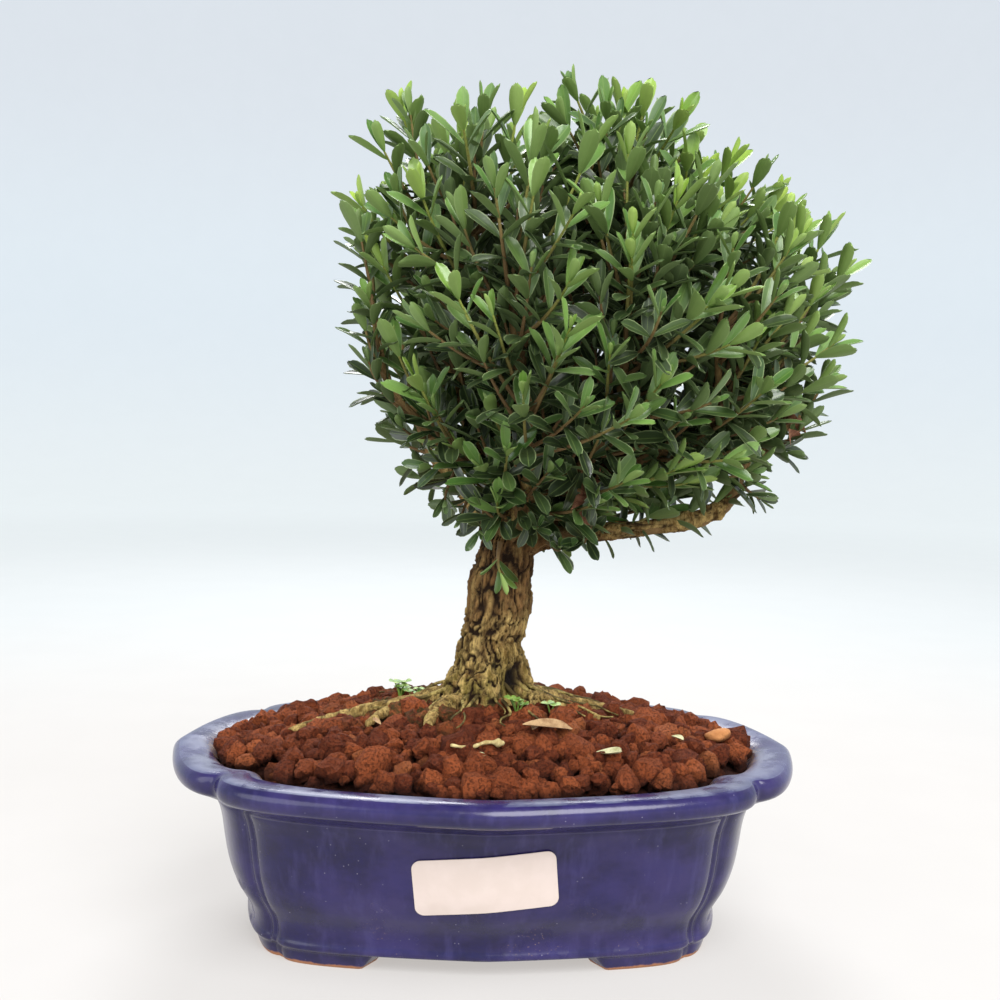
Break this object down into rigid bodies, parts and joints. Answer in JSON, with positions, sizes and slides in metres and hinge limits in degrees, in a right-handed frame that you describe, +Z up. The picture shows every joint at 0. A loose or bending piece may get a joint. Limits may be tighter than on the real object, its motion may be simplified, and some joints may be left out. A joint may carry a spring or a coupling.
{
  "type": "harland boxwood bonsai",
  "caption": "Bonsai boxwood with a fissured trunk, surface roots and a dense rounded crown of small notched leaves, in a lobed blue glazed pot with drain holes and corner feet.",
  "frame": {"origin": "middle of the bounding box of the whole plant and pot, on the surface that the feet stand on", "axes": "+Z up the tree; X along the pot's long side, +X to the side where the crown overhangs; -Y is the front, with the label"},
  "size_m": [0.2584, 0.172, 0.3239],
  "materials": {
    "glaze": "cobalt blue glossy ceramic glaze, paler where it is thin on edges, bare terracotta under the feet",
    "net": "black plastic drain net",
    "soil": "dry red-brown lava and fired clay granules",
    "bark": "corky fissured bark, cream-tan ridges over brown",
    "leaf": "leathery glossy green leaf, paler underside and midrib",
    "weed": "soft bright green leaflet",
    "dry_leaf": "dry brown leaf",
    "pale_leaf": "faded green leaf",
    "paper": "blank white coated paper label"
  },
  "bodies": {
    "root": {"pot": "glaze", "drain_net_left": "net", "drain_net_right": "net", "soil": "soil", "trunk": "bark", "label": "paper", "weed_left": "weed", "weed_front": "weed", "fallen_leaf_brown": "dry_leaf", "fallen_leaf_pale": "pale_leaf", "fallen_twig": "dry_leaf", "spray_01": "leaf", "spray_02": "leaf", "spray_03": "leaf", "spray_04": "leaf", "spray_05": "leaf", "spray_06": "leaf", "spray_07": "leaf", "spray_08": "leaf", "spray_09": "leaf", "spray_10": "leaf", "spray_11": "leaf", "spray_12": "leaf", "spray_13": "leaf", "spray_14": "leaf", "spray_15": "leaf", "spray_16": "leaf", "spray_17": "leaf", "spray_18": "leaf", "spray_19": "leaf", "spray_20": "leaf", "spray_21": "leaf", "spray_22": "leaf", "spray_23": "leaf", "spray_24": "leaf", "spray_25": "leaf", "spray_26": "leaf", "spray_27": "leaf", "spray_28": "leaf", "spray_29": "leaf", "spray_30": "leaf", "spray_31": "leaf", "spray_32": "leaf", "spray_33": "leaf", "spray_34": "leaf", "spray_35": "leaf", "spray_36": "leaf", "spray_37": "leaf", "spray_38": "leaf", "spray_39": "leaf", "spray_40": "leaf", "spray_41": "leaf", "spray_42": "leaf", "spray_43": "leaf", "spray_44": "leaf", "spray_45": "leaf", "spray_46": "leaf", "spray_47": "leaf", "spray_48": "leaf", "spray_49": "leaf"}
  },
  "joints": []
}
